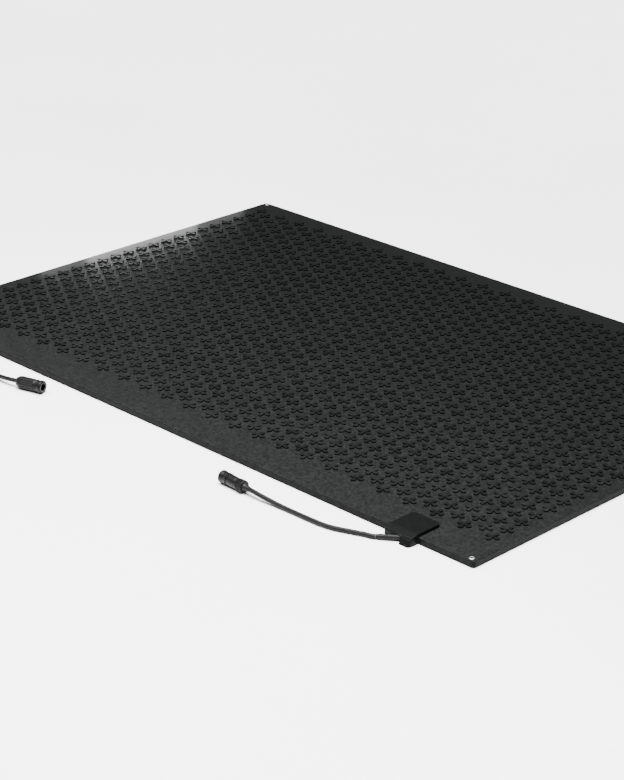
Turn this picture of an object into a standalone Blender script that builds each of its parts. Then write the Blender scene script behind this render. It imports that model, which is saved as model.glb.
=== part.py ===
"""Linkable electric heat mat: a 1.2 m by 0.8 m rubber mat with a studded tread, a junction box on each
end of its front edge, and two short link leads that end in a socket and a plug.

Frame: metres, +Z up, floor at Z = 0. The origin is the middle of the mat's underside. X runs along the
long side and Y across the mat, with the boxes and the leads at the front, on the -Y side.
"""

import math

import bmesh
import bpy
from mathutils import Euler, Vector
from mathutils.geometry import interpolate_bezier

MM = 0.001
GAP = 0.3 * MM  # between neighbouring pieces

# Mat
MAT_X, MAT_Y = 1200 * MM, 800 * MM
SHEET_Z = 10 * MM  # top of the plain margin
TREAD_Z = 12 * MM  # top of the tread
MAT_CORNER, MAT_EDGE = 5 * MM, 1.2 * MM
TREAD_LOW = (-581.2 * MM, -341.9 * MM)  # the tread's corner at the front left
TREAD_HIGH = (583.2 * MM, 369.8 * MM)
TREAD_CORNER = 2 * MM
RIM = 16 * MM  # solid rubber round the pocket
POCKET_Z = 7 * MM  # ceiling of the pocket
BACKING_Z = 3 * MM
EYELET_IN = (9 * MM, 6.5 * MM)  # eyelet's centre from the short and the long edge
EYELET_R, EYELET_BARREL_R, EYELET_HOLE_R = 4.2 * MM, 2.4 * MM, 1.8 * MM
EYELET_HEAD, EYELET_LIP, EYELET_SHOULDER = 0.7 * MM, 0.5 * MM, 0.8 * MM
WASHER_Z = (0.3 * MM, 0.9 * MM)

# Layers in the pocket
SCREEN_Z = (3.3 * MM, 3.7 * MM)
CARRIER_Z = (6.3 * MM, 6.7 * MM)
LAYER_X, LAYER_FRONT, LAYER_REAR = 576 * MM, -350 * MM, 376 * MM
CABLE_R, CABLE_Z = 1.0 * MM, 5.0 * MM
RUNS = 24
RUN_X = 552 * MM  # outermost run
RUN_FRONT, RUN_REAR = -300 * MM, 326 * MM  # ends of the straight runs
FEED_Y = -342 * MM  # the cable's way to each box
FEED_BENDS = (8 * MM, 20 * MM)  # its bends' radii, into the box and into the outermost run
LINK_R = 0.9 * MM
LINK_Y = {"live": -366.5 * MM, "neutral": -371 * MM, "earth": -375.5 * MM}

# Junction boxes
BOX_X = 480.5 * MM
LID_W = 49 * MM
LID_REAR, LID_FRONT = -355 * MM, -412.5 * MM
LID_Z = (10.3 * MM, 15 * MM)
LID_CORNER, LID_EDGE, LID_WALL = 5 * MM, 0.8 * MM, 1.8 * MM
LID_RIM = 4 * MM  # solid lid round the room under it
SLOPE_FROM, SLOPE_END_Z = -400.5 * MM, 12.3 * MM
NECK_W, NECK_REAR = 42 * MM, -357.7 * MM  # the part of the base that sits in the mat's notch
BASE_TOP, BASE_FLOOR, BASE_WALL = 9.2 * MM, 3 * MM, 2 * MM
GASKET_Z, GASKET_W = (9.5 * MM, 10.0 * MM), 1.4 * MM
POST_X = (5.5 * MM, 24 * MM)  # the drafted post, from the box's middle outwards
POST_FOOT_Y, POST_TOP_Y, POST_Z = -418.5 * MM, -414.5 * MM, 10 * MM
POST_ROUND, POST_ROOT = 4.5 * MM, 8 * MM  # its front edges' radius, and how far it runs back into the base
CABLE_SLOT_W, LINK_SLOT_Y = 6 * MM, (-378 * MM, -364 * MM)
SLOT_Z = (3.4 * MM, 6.6 * MM)
PILLAR_R, SCREW_R, SCREW_HEAD_R = 2.7 * MM, 1.3 * MM, 2.4 * MM
SCREW_TOP, SCREW_POINT, SCREW_HEAD_Z = 10.5 * MM, 1 * MM, 1.6 * MM
PILLARS = {"rear": (13 * MM, -363.5 * MM), "front": (-13 * MM, -398 * MM)}  # from the box's middle outwards
BLOCK_W, BLOCK_Y, BLOCK_Z = 27 * MM, (-391 * MM, -366.2 * MM), (3.3 * MM, 11.2 * MM)
WELL_R, WELL_APART, WELL_Y, WELL_FLOOR = 1.9 * MM, 8.6 * MM, -378.5 * MM, 7 * MM
GLAND_AT = Vector((-3 * MM, -413.5 * MM, 4.8 * MM))  # from the box's middle, where it meets the front wall
GLAND_YAW, GLAND_DROP = math.radians(36), math.radians(2.6)
GLAND_R, GLAND_SHOULDER, GLAND_TAIL = 3.7 * MM, 6.5 * MM, 26 * MM
GLAND_COLLAR_R, GLAND_COLLAR = 4.2 * MM, 2 * MM
GLAND_IN, GLAND_ROOM = 7 * MM, 3 * MM  # how far it reaches into the box, and its hole beyond that
CORE_R, CORE_APART, CORE_Z, CORE_STRAIGHT = 0.7 * MM, 2.4 * MM, 6.5 * MM, 3 * MM

# Leads and couplings. Heights along a coupling are from its open face, down into it.
LEAD_R = 3.4 * MM
SOCKET_FACE, SOCKET_YAW = Vector((194.2 * MM, -456.9 * MM, 9.25 * MM)), math.radians(177.5)
PLUG_FACE, PLUG_YAW = Vector((-212.1 * MM, -442.6 * MM, 9.95 * MM)), math.radians(15.5)
NOSE_R, NOSE_LIP_R, BORE_R, PASSAGE_R = 6.8 * MM, 7.2 * MM, 5.8 * MM, 3 * MM
NOSE_TOP, NOSE_LIP_END = -1 * MM, -3 * MM
COLLAR_ROUND, COLLAR_REAR_ROUND, COLLAR_STEP = 1.2 * MM, 0.8 * MM, -3.4 * MM
SEAL_Z = (-0.7 * MM, -0.2 * MM)
PIN_RING_R, PIN_R, PIN_HOLE_R, PIN_TIP = 2.9 * MM, 0.9 * MM, 1.2 * MM, 0.3 * MM
SOCKET_COLLAR_R, SOCKET_COLLAR, SOCKET_BARREL_R = 9.1 * MM, 15 * MM, 8.3 * MM
SOCKET_BARREL_END, SOCKET_BORE_END = -34.5 * MM, -20 * MM
SOCKET_INSERT_Z = (-19.7 * MM, -3 * MM)
SOCKET_CONTACT_Z, SOCKET_CONTACT_BORE = (-19.6 * MM, -3.4 * MM), (0.5 * MM, -12 * MM)
NUT_R, NUT_END_R, NUT_END, NUT_CHAMFER = 8.9 * MM, 7.9 * MM, -46.5 * MM, 1 * MM
SOCKET_BOOT = ((6 * MM, 0), (4.3 * MM, 3.7 * MM), (3.6 * MM, 10 * MM))  # radius, and distance behind the nut
PLUG_COLLAR_R, PLUG_COLLAR, PLUG_BARREL_R = 9.8 * MM, 12 * MM, 9.5 * MM
PLUG_BARREL_END, PLUG_BORE_END = -40 * MM, -24 * MM
PLUG_INSERT_Z, PLUG_PIN_Z = (-23.7 * MM, -14.3 * MM), (-23.6 * MM, -8 * MM)
PLUG_BOOT = ((9.3 * MM, 0), (6.8 * MM, 6 * MM), (4.1 * MM, 6.8 * MM), (3.7 * MM, 9.2 * MM))
BOOT_PLUG_R, BOOT_DEPTH = 2.7 * MM, 10 * MM  # the boot's root inside the barrel

SOCKET_ROUTE = [
    (456.0, -429.1, 3.6), (453.1, -431.0, 3.5), (447.6, -432.9, 3.5), (441.0, -435.0, 3.5),
    (433.2, -438.1, 3.5), (425.3, -441.3, 3.5), (417.4, -444.7, 3.5), (409.5, -447.9, 3.5),
    (401.5, -450.8, 3.5),
    (392.5, -453.1, 3.5), (382.0, -454.6, 3.5), (368.0, -455.4, 3.5), (351.0, -455.9, 3.5),
    (334.0, -456.1, 3.5), (318.0, -456.5, 3.7), (306.5, -457.1, 4.3), (295.5, -457.7, 5.2),
    (285.0, -458.6, 6.4), (275.0, -459.4, 7.6), (266.0, -459.8, 8.6), (258.0, -459.7, 9.2),
    (251.3, -459.4, 9.25),
]
PLUG_ROUTE = [
    (-456.0, -429.1, 3.6), (-452.6, -431.8, 3.5), (-443.0, -440.8, 3.5), (-431.0, -453.6, 3.5),
    (-416.0, -465.4, 3.5), (-399.0, -472.6, 3.5), (-382.0, -473.6, 3.5), (-366.0, -470.4, 3.5),
    (-351.0, -465.4, 3.5), (-337.0, -461.4, 3.7), (-324.0, -459.4, 4.3), (-311.0, -459.0, 5.4),
    (-298.0, -459.4, 6.9), (-286.0, -459.7, 8.3), (-275.0, -459.2, 9.4), (-266.5, -457.7, 9.9),
    (-260.1, -455.95, 9.95),
]

MATERIALS = {
    "sheet_rubber": ((0.022, 0.023, 0.023), 0.62, 0.0),
    "box_plastic": ((0.012, 0.013, 0.013), 0.5, 0.0),
    "coupling_plastic": ((0.014, 0.014, 0.014), 0.42, 0.0),
    "lead_sheath": ((0.016, 0.016, 0.016), 0.5, 0.0),
    "seal_rubber": ((0.03, 0.03, 0.03), 0.7, 0.0),
    "bright_steel": ((0.75, 0.74, 0.75), 0.28, 1.0),
    "contact_brass": ((0.72, 0.52, 0.25), 0.3, 1.0),
    "foil": ((0.8, 0.8, 0.82), 0.35, 1.0),
    "carrier_glass": ((0.75, 0.73, 0.66), 0.85, 0.0),
    "cable_silicone": ((0.45, 0.06, 0.04), 0.55, 0.0),
    "core_live": ((0.24, 0.1, 0.04), 0.5, 0.0),
    "core_neutral": ((0.04, 0.12, 0.42), 0.5, 0.0),
    "core_earth": ((0.2, 0.42, 0.06), 0.5, 0.0),
    "terminal_nylon": ((0.62, 0.6, 0.52), 0.5, 0.0),
}


def clear_scene():
    for obj in list(bpy.data.objects):
        bpy.data.objects.remove(obj, do_unlink=True)


def new_collection(name, hidden=False):
    collection = bpy.data.collections.new(name)
    bpy.context.scene.collection.children.link(collection)
    collection.hide_render = hidden
    return collection


def material(name):
    found = bpy.data.materials.get(name)
    if found:
        return found
    colour, roughness, metallic = MATERIALS[name]
    made = bpy.data.materials.new(name)
    made.use_nodes = True
    shader = made.node_tree.nodes["Principled BSDF"]
    shader.inputs["Base Color"].default_value = (*colour, 1)
    shader.inputs["Roughness"].default_value = roughness
    shader.inputs["Metallic"].default_value = metallic
    return made


def add(name, data, finish, place=(0, 0, 0), turn=(0, 0, 0)):
    """A part, in the parts' collection."""
    obj = bpy.data.objects.new(name, data)
    obj.location, obj.rotation_euler = place, turn
    PARTS.objects.link(obj)
    data.materials.append(material(finish))
    return obj


def cutter(name, mesh, place=(0, 0, 0), turn=(0, 0, 0)):
    obj = bpy.data.objects.new(name, mesh)
    obj.location, obj.rotation_euler = place, turn
    obj.hide_render, obj.display_type = True, "WIRE"
    CUTTERS.objects.link(obj)
    return obj


def combine(obj, other, operation="DIFFERENCE"):
    step = obj.modifiers.new(f"{operation.lower()}_{other.name}", "BOOLEAN")
    step.operation, step.solver, step.object = operation, "EXACT", other


def slab(low, high, corner=0.0, corner_steps=4, top_edge=0.0, top_steps=2):
    """A box mesh between two corners, its upright edges rounded, and then its top edge."""
    bm = bmesh.new()
    bmesh.ops.create_cube(bm, size=1)
    low, high = Vector(low), Vector(high)
    for vert in bm.verts:
        vert.co = [(low[k] + high[k]) / 2 + vert.co[k] * (high[k] - low[k]) for k in range(3)]
    if corner:
        upright = [e for e in bm.edges if abs(e.verts[0].co.z - e.verts[1].co.z) > (high.z - low.z) / 2]
        bmesh.ops.bevel(bm, geom=upright, offset=corner, segments=corner_steps, profile=0.5, affect="EDGES")
    if top_edge:
        top = [e for e in bm.edges if all(v.co.z > high.z - GAP / 9 for v in e.verts)]
        bmesh.ops.bevel(bm, geom=top, offset=top_edge, segments=top_steps, profile=0.5, affect="EDGES")
    return finished(bm, "slab")


def plate(outline, bottom, top):
    """A flat outline of (x, y) points, raised from one height to another."""
    bm = bmesh.new()
    face = bm.faces.new([bm.verts.new((x, y, bottom)) for x, y in outline])
    raised = bmesh.ops.extrude_face_region(bm, geom=[face])["geom"]
    verts = [g for g in raised if isinstance(g, bmesh.types.BMVert)]
    bmesh.ops.translate(bm, verts=verts, vec=(0, 0, top - bottom))
    bmesh.ops.recalc_face_normals(bm, faces=bm.faces)
    return finished(bm, "plate")


def rod(radius, bottom, top, sides=16):
    """An upright cylinder mesh."""
    bm, depth = bmesh.new(), top - bottom
    bmesh.ops.create_cone(bm, cap_ends=True, segments=sides, radius1=radius, radius2=radius, depth=depth)
    bmesh.ops.translate(bm, verts=bm.verts, vec=(0, 0, (top + bottom) / 2))
    return finished(bm, "rod")


def finished(bm, name):
    mesh = bpy.data.meshes.new(name)
    bm.to_mesh(mesh)
    bm.free()
    return mesh


def turned(name, profile, finish, place=(0, 0, 0), turn=(0, 0, 0), sides=20, closed=False):
    """A profile of (radius, height) points, down its outer side, turned about the object's Z axis."""
    mesh = bpy.data.meshes.new(name)
    edges = [(i, i + 1) for i in range(len(profile) - 1)]
    if closed:
        edges.append((len(profile) - 1, 0))
    mesh.from_pydata([(r, 0, z) for r, z in profile], edges, [])
    obj = add(name, mesh, finish, place, turn)
    screw = obj.modifiers.new("turn", "SCREW")
    screw.steps = screw.render_steps = sides
    screw.use_merge_vertices, screw.merge_threshold = True, GAP / 30
    screw.use_smooth_shade = True
    return obj


def wire(name, points, radius, finish, resolution=2):
    """A round wire through the points, with filled ends."""
    curve = bpy.data.curves.new(name, "CURVE")
    curve.dimensions, curve.bevel_depth = "3D", radius
    curve.bevel_resolution, curve.use_fill_caps = resolution, True
    spline = curve.splines.new("POLY")
    spline.points.add(len(points) - 1)
    for point, co in zip(spline.points, points):
        point.co = (*co, 1)
    return add(name, curve, finish)


def smooth_route(points, steps):
    """Points on one smooth curve through the given ones, steps of them to each stretch."""
    points = [Vector(p) for p in points]
    ends = [points[0] * 2 - points[1], *points, points[-1] * 2 - points[-2]]
    slopes = [(ends[i + 2] - ends[i]) / 6 for i in range(len(points))]
    route = []
    for i in range(len(points) - 1):
        stretch = interpolate_bezier(
            points[i], points[i] + slopes[i], points[i + 1] - slopes[i + 1], points[i + 1], steps + 1
        )
        route += stretch[:-1]
    return route + [points[-1]]


def arc(centre, radius, start, end, steps):
    """Points on an arc in the plane of the heating cable, the angles in degrees."""
    angles = [math.radians(start + (end - start) * i / steps) for i in range(steps + 1)]
    return [(centre[0] + radius * math.cos(a), centre[1] + radius * math.sin(a), CABLE_Z) for a in angles]


# ---------------------------------------------------------------- mat


def notch(name, side):
    """The cutter of one box's notch in the mat's front edge."""
    half = NECK_W / 2 + GAP
    low = (side * BOX_X - half, -MAT_Y, -SHEET_Z)
    high = (side * BOX_X + half, NECK_REAR + GAP, 2 * SHEET_Z)
    return cutter(f"{name}_notch", slab(low, high))


def corners():
    """Each mat corner's name, and its eyelet's centre."""
    for row, y in (("front", -1), ("rear", 1)):
        for column, x in (("left", -1), ("right", 1)):
            yield f"{row}_{column}", (x * (MAT_X / 2 - EYELET_IN[0]), y * (MAT_Y / 2 - EYELET_IN[1]), 0)


def make_top_sheet():
    half_x, half_y = MAT_X / 2, MAT_Y / 2
    sheet = add(
        "top_sheet",
        slab((-half_x, -half_y, 0), (half_x, half_y, SHEET_Z), MAT_CORNER, 4, MAT_EDGE),
        "sheet_rubber",
    )
    tread = slab((*TREAD_LOW, SHEET_Z - MM), (*TREAD_HIGH, TREAD_Z), TREAD_CORNER, 2)
    combine(sheet, cutter("tread_block", tread), "UNION")
    pocket = slab((RIM - half_x, RIM - half_y, -SHEET_Z), (half_x - RIM, half_y - RIM, POCKET_Z))
    combine(sheet, cutter("pocket", pocket))
    for side, name in ((1, "right"), (-1, "left")):
        combine(sheet, notch(f"sheet_{name}", side))
    for name, centre in corners():
        hole = rod(EYELET_BARREL_R + GAP, -SHEET_Z, 2 * SHEET_Z)
        combine(sheet, cutter(f"eyelet_hole_{name}", hole, centre))
        seat = rod(EYELET_R + GAP, -SHEET_Z, WASHER_Z[1] + GAP)
        combine(sheet, cutter(f"washer_seat_{name}", seat, centre))


def make_backing_sheet():
    half_x, half_y = MAT_X / 2 - RIM - GAP, MAT_Y / 2 - RIM - GAP
    sheet = add("backing_sheet", slab((-half_x, -half_y, 0), (half_x, half_y, BACKING_Z)), "sheet_rubber")
    for side, name in ((1, "right"), (-1, "left")):
        combine(sheet, notch(f"backing_{name}", side))


def make_layers():
    for name, (low, high), finish in (
        ("earth_screen", SCREEN_Z, "foil"),
        ("carrier_cloth", CARRIER_Z, "carrier_glass"),
    ):
        add(name, slab((-LAYER_X, LAYER_FRONT, low), (LAYER_X, LAYER_REAR, high)), finish)


def cable_route():
    """The heating cable, from the right box through all its runs to the left box."""
    pitch = 2 * RUN_X / (RUNS - 1)
    into_box, into_run = FEED_BENDS
    lead_in = [(BOX_X, BLOCK_Y[1] + GAP, CABLE_Z)]
    lead_in += arc((BOX_X + into_box, FEED_Y - into_box), into_box, 180, 90, 3)
    lead_in += arc((RUN_X - into_run, FEED_Y + into_run), into_run, -90, 0, 4)
    lead_out = [(-x, y, z) for x, y, z in reversed(lead_in)]
    route = lead_in
    for i in range(RUNS - 1):
        middle = RUN_X - pitch * (i + 0.5)
        if i % 2 == 0:
            route += arc((middle, RUN_REAR), pitch / 2, 0, 180, 5)
        else:
            route += arc((middle, RUN_FRONT), pitch / 2, 0, -180, 5)
    return route + lead_out


def make_wiring():
    wire("heating_cable", cable_route(), CABLE_R, "cable_silicone")
    reach = BOX_X - BLOCK_W / 2 - GAP
    for name, y in LINK_Y.items():
        wire(f"link_wire_{name}", [(-reach, y, CABLE_Z), (reach, y, CABLE_Z)], LINK_R, f"core_{name}")


def make_eyelets():
    head = SHEET_Z + GAP
    profile = [
        (EYELET_HOLE_R, head + EYELET_HEAD / 2),
        (EYELET_HOLE_R + EYELET_LIP, head + EYELET_HEAD),
        (EYELET_R - EYELET_SHOULDER, head + EYELET_HEAD),
        (EYELET_R, head + EYELET_HEAD / 3),
        (EYELET_R, head),
        (EYELET_BARREL_R, head),
        (EYELET_BARREL_R, WASHER_Z[0]),
        (EYELET_HOLE_R, WASHER_Z[0]),
    ]
    inner = EYELET_BARREL_R + GAP
    ring = [(inner, WASHER_Z[1]), (EYELET_R, WASHER_Z[1]), (EYELET_R, WASHER_Z[0]), (inner, WASHER_Z[0])]
    for name, centre in corners():
        turned(f"eyelet_{name}", profile, "bright_steel", centre, sides=16, closed=True)
        turned(f"eyelet_washer_{name}", ring, "bright_steel", centre, sides=16, closed=True)


# ---------------------------------------------------------------- junction boxes


def pillars(side):
    """The name and place of each pillar that a lid screw goes up into."""
    for where, (out, y) in PILLARS.items():
        yield where, (side * (BOX_X + out), y, 0)


def make_base(name, side):
    """The tray: a neck in the mat's notch, a wider front beyond the mat's edge, and the drafted post."""
    middle = side * BOX_X
    edge, wide, narrow = -MAT_Y / 2 - GAP, LID_W / 2, NECK_W / 2
    half = [(wide, LID_FRONT), (wide, edge), (narrow, edge), (narrow, NECK_REAR)]
    outline = [(middle + x, y) for x, y in half] + [(middle - x, y) for x, y in reversed(half)]
    base = add(f"junction_base_{name}", plate(outline, 0, POST_Z), "box_plastic")
    combine(base, post(name, side), "UNION")
    low = (middle - LID_W, LID_FRONT - GAP / 3, BASE_TOP)
    combine(base, cutter(f"gasket_seat_{name}", slab(low, (middle + LID_W, LID_REAR, 2 * POST_Z))))
    inner = NECK_W / 2 - BASE_WALL
    low = (middle - inner, LID_FRONT + BASE_WALL, BASE_FLOOR)
    combine(base, cutter(f"cavity_{name}", slab(low, (middle + inner, NECK_REAR - BASE_WALL, SHEET_Z))))
    hole = rod(GLAND_R + GAP, -GLAND_IN - GLAND_ROOM, GLAND_TAIL, 18)
    combine(base, cutter(f"gland_hole_{name}", hole, *gland_pose(side)))
    cut_wire_slots(base, name, side)
    for where, spot in pillars(side):
        for part, radius, top in (("screw", SCREW_R, SHEET_Z), ("head", SCREW_HEAD_R, SCREW_HEAD_Z)):
            hole = rod(radius + GAP, -SHEET_Z, top + GAP, 12)
            combine(base, cutter(f"{part}_hole_{where}_{name}", hole, spot))


def cut_wire_slots(base, name, side):
    """The heating cable's way in through the rear wall, and the link wires' through the inner wall."""
    middle, through = side * BOX_X, BASE_WALL + MM
    rear = (middle + CABLE_SLOT_W / 2, NECK_REAR + MM, SLOT_Z[1])
    slot = slab((middle - CABLE_SLOT_W / 2, NECK_REAR - through, SLOT_Z[0]), rear)
    combine(base, cutter(f"cable_slot_{name}", slot))
    wall = middle - side * NECK_W / 2
    slot = slab((wall - through, LINK_SLOT_Y[0], SLOT_Z[0]), (wall + through, LINK_SLOT_Y[1], SLOT_Z[1]))
    combine(base, cutter(f"link_slot_{name}", slot))


def post(name, side):
    """The rounded post at the box's outer front corner, wider at its foot."""
    low, high = sorted(side * (BOX_X + x) for x in POST_X)
    mesh = slab((low, POST_FOOT_Y, 0), (high, LID_FRONT + POST_ROOT, POST_Z - GAP / 3))
    for vert in mesh.vertices:
        if vert.co.z > POST_Z / 2 and vert.co.y < LID_FRONT:
            vert.co.y = POST_TOP_Y
    bm = bmesh.new()
    bm.from_mesh(mesh)
    ends = [e for e in bm.edges if abs(e.verts[0].co.x - e.verts[1].co.x) < MM]
    fronts = [e for e in ends if all(v.co.y < LID_FRONT for v in e.verts)]
    bmesh.ops.bevel(bm, geom=fronts, offset=POST_ROUND, segments=4, profile=0.5, affect="EDGES")
    return cutter(f"post_{name}", finished(bm, "post"))


def gland_pose(side):
    """Where the gland's Z axis starts, on the front wall, and its turn: it points out, in and down."""
    place = Vector((side * (BOX_X + GLAND_AT.x), GLAND_AT.y, GLAND_AT.z))
    yaw = -math.pi + GLAND_YAW if side > 0 else -GLAND_YAW
    return place, (0, math.pi / 2 + GLAND_DROP, yaw)


def make_lid(name, side):
    middle = side * BOX_X
    low = (middle - LID_W / 2, LID_FRONT, LID_Z[0])
    high = (middle + LID_W / 2, LID_REAR, LID_Z[1])
    lid = add(f"junction_lid_{name}", slab(low, high, LID_CORNER, 4, LID_EDGE, 1), "box_plastic")
    fall = math.atan2(LID_Z[1] - SLOPE_END_Z, SLOPE_FROM - LID_FRONT)
    wedge = slab((-LID_W, -LID_W, 0), (LID_W, 0, LID_W))
    combine(lid, cutter(f"lid_slope_{name}", wedge, (middle, SLOPE_FROM, LID_Z[1]), (fall, 0, 0)))
    inner = LID_W / 2 - LID_RIM
    room = slab((middle - inner, SLOPE_FROM, 0), (middle + inner, LID_REAR - LID_RIM, LID_Z[1] - LID_WALL))
    combine(lid, cutter(f"lid_room_{name}", room))
    for where, spot in pillars(side):
        pillar = rod(PILLAR_R, BASE_FLOOR + GAP, LID_Z[1] - LID_WALL / 2, 12)
        combine(lid, cutter(f"pillar_{where}_{name}", pillar, spot), "UNION")
        bore = rod(SCREW_R + GAP, 0, SCREW_TOP + GAP, 12)
        combine(lid, cutter(f"pillar_bore_{where}_{name}", bore, spot))


def make_gasket(name, side):
    middle, width, outer = side * BOX_X, GASKET_W, NECK_W / 2 - GAP
    rear, front = NECK_REAR - GAP, LID_FRONT + GAP
    ring = slab((middle - outer, front, GASKET_Z[0]), (middle + outer, rear, GASKET_Z[1]), MM, 2)
    gasket = add(f"lid_gasket_{name}", ring, "seal_rubber")
    low = (middle - outer + width, front + width, 0)
    high = (middle + outer - width, rear - width, LID_Z[1])
    combine(gasket, cutter(f"gasket_room_{name}", slab(low, high)))


def make_terminal_block(name, side):
    middle = side * BOX_X
    low = (middle - BLOCK_W / 2, BLOCK_Y[0], BLOCK_Z[0])
    high = (middle + BLOCK_W / 2, BLOCK_Y[1], BLOCK_Z[1])
    block = add(f"terminal_block_{name}", slab(low, high), "terminal_nylon")
    for i in range(-1, 2):
        well = rod(WELL_R, WELL_FLOOR, 2 * BLOCK_Z[1], 12)
        combine(block, cutter(f"well_{i}_{name}", well, (middle + i * WELL_APART, WELL_Y, 0)))


def make_screws(name, side):
    profile = [(0, SCREW_TOP), (SCREW_R, SCREW_TOP - SCREW_POINT), (SCREW_R, SCREW_HEAD_Z),
               (SCREW_HEAD_R, SCREW_HEAD_Z), (SCREW_HEAD_R, GAP), (0, GAP)]
    for where, spot in pillars(side):
        turned(f"lid_screw_{where}_{name}", profile, "bright_steel", spot, sides=12)


def make_gland(name, side):
    """The tapered strain relief, from inside the box to where the lead's sheath shows."""
    tip, shoulder = LEAD_R + GAP / 2, GLAND_SHOULDER + GLAND_COLLAR
    profile = [
        (0, GLAND_TAIL), (LEAD_R, GLAND_TAIL), (tip, GLAND_TAIL - MM), (GLAND_COLLAR_R, shoulder),
        (GLAND_COLLAR_R, GLAND_SHOULDER), (GLAND_R, GLAND_SHOULDER), (GLAND_R, -GLAND_IN), (0, -GLAND_IN),
    ]
    turned(f"strain_relief_{name}", profile, "lead_sheath", *gland_pose(side), sides=16)


def make_cores(name, side):
    """The lead's three cores, from the gland's inner end to the terminal block's front."""
    place, turn = gland_pose(side)
    inward = -(Euler(turn).to_matrix() @ Vector((0, 0, 1)))
    start = place + inward * (GLAND_IN + GAP)
    for i, core in enumerate(("live", "neutral", "earth")):
        off = (i - 1) * CORE_APART
        first = start + Vector((side * -off * math.sin(GLAND_YAW), off * math.cos(GLAND_YAW), 0))
        end = Vector((side * (BOX_X + (1 - i) * WELL_APART), BLOCK_Y[0] - GAP, CORE_Z))
        straight = inward * CORE_STRAIGHT
        before = end - Vector((0, CORE_STRAIGHT, 0))
        route = [first, first + straight, (first + end) / 2 + straight, before, end]
        wire(f"lead_core_{core}_{name}", smooth_route(route, 2), CORE_R, f"core_{core}")


def make_box(name, side):
    make_base(name, side)
    make_lid(name, side)
    make_gasket(name, side)
    make_terminal_block(name, side)
    make_screws(name, side)
    make_gland(name, side)
    make_cores(name, side)


# ---------------------------------------------------------------- leads and couplings


def make_lead(name, route):
    points = smooth_route([[c * MM for c in p] for p in route], 1)
    wire(name, points, LEAD_R, "lead_sheath", 3)


def lying(face, yaw):
    """A coupling's place and turn: its own Z axis lies level and points out of its open end."""
    return face, (0, math.pi / 2, yaw)


def make_collar(name, radius, length, pose):
    """The turning collar round the nose, held on behind the nose's lip."""
    profile = [
        (radius - COLLAR_ROUND, 0), (radius, -COLLAR_ROUND), (radius, COLLAR_REAR_ROUND - length),
        (radius - COLLAR_REAR_ROUND, -length), (NOSE_R + GAP, -length), (NOSE_R + GAP, COLLAR_STEP),
        (NOSE_LIP_R + GAP, COLLAR_STEP), (NOSE_LIP_R + GAP, 0),
    ]
    turned(name, profile, "coupling_plastic", *pose, closed=True)


def make_shell(name, collar, barrel_r, end, bore_end, pose):
    """The nose with its lip, and the barrel behind the collar, hollow from end to end."""
    shoulder = -collar - GAP
    profile = [
        (NOSE_LIP_R, NOSE_TOP), (NOSE_LIP_R, NOSE_LIP_END), (NOSE_R, NOSE_LIP_END), (NOSE_R, shoulder),
        (barrel_r, shoulder), (barrel_r, end), (PASSAGE_R, end), (PASSAGE_R, bore_end),
        (BORE_R, bore_end), (BORE_R, NOSE_TOP),
    ]
    turned(name, profile, "coupling_plastic", *pose, closed=True)


def make_insert(name, heights, contacts, pose):
    """The insulating insert with its three contacts: pins that stand out of it, or hollow sockets."""
    (place, turn), (bottom, top), radius = pose, heights, BORE_R - GAP
    profile = [(0, top), (radius, top), (radius, bottom), (0, bottom)]
    insert = turned(f"{name}_insert", profile, "coupling_plastic", place, turn)
    for i, core in enumerate(("live", "neutral", "earth")):
        angle = math.radians(90 + 120 * i)
        out = Vector((PIN_RING_R * math.cos(angle), PIN_RING_R * math.sin(angle), 0))
        spot = place + Euler(turn).to_matrix() @ out
        combine(insert, cutter(f"{name}_way_{core}", rod(PIN_HOLE_R, bottom - MM, top + MM, 12), spot, turn))
        turned(f"{name}_contact_{core}", contacts, "contact_brass", spot, turn, sides=12)


def make_seal(name, pose):
    outer, inner, (low, high) = NOSE_LIP_R - GAP / 2, BORE_R + GAP / 2, SEAL_Z
    profile = [(outer, high), (outer, low), (inner, low), (inner, high)]
    turned(name, profile, "seal_rubber", *pose, closed=True)


def make_boot(name, root_r, root_end, behind, steps, pose):
    """The tapered boot: its root inside the barrel, then its steps of radius and distance behind it."""
    profile = [(0, root_end), (root_r, root_end), (root_r, behind)]
    profile += [(radius, behind - back) for radius, back in steps]
    turned(name, [*profile, (0, behind - steps[-1][1])], "lead_sheath", *pose)


def make_socket():
    """The right lead's end: a long collar, a plain barrel, a knurled rear nut and a short boot."""
    pose, nut_top = lying(SOCKET_FACE, SOCKET_YAW), SOCKET_BARREL_END - GAP
    make_collar("link_socket_collar", SOCKET_COLLAR_R, SOCKET_COLLAR, pose)
    make_shell("link_socket_shell", SOCKET_COLLAR, SOCKET_BARREL_R, SOCKET_BARREL_END, SOCKET_BORE_END, pose)
    (bottom, top), (bore_r, bore_end) = SOCKET_CONTACT_Z, SOCKET_CONTACT_BORE
    contact = [(0, bore_end), (bore_r, bore_end), (bore_r, top), (PIN_R, top), (PIN_R, bottom), (0, bottom)]
    make_insert("link_socket", SOCKET_INSERT_Z, contact, pose)
    make_seal("link_socket_seal", pose)
    boot_r = SOCKET_BOOT[-1][0]
    nut = [
        (NUT_R - NUT_CHAMFER, nut_top), (NUT_R, nut_top - NUT_CHAMFER), (NUT_R, NUT_END + NUT_CHAMFER),
        (NUT_END_R, NUT_END), (boot_r + GAP, NUT_END), (boot_r + GAP, nut_top),
    ]
    turned("link_socket_nut", nut, "coupling_plastic", *pose, closed=True)
    make_boot("link_socket_boot", boot_r, nut_top - GAP, NUT_END - GAP, SOCKET_BOOT, pose)


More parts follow.
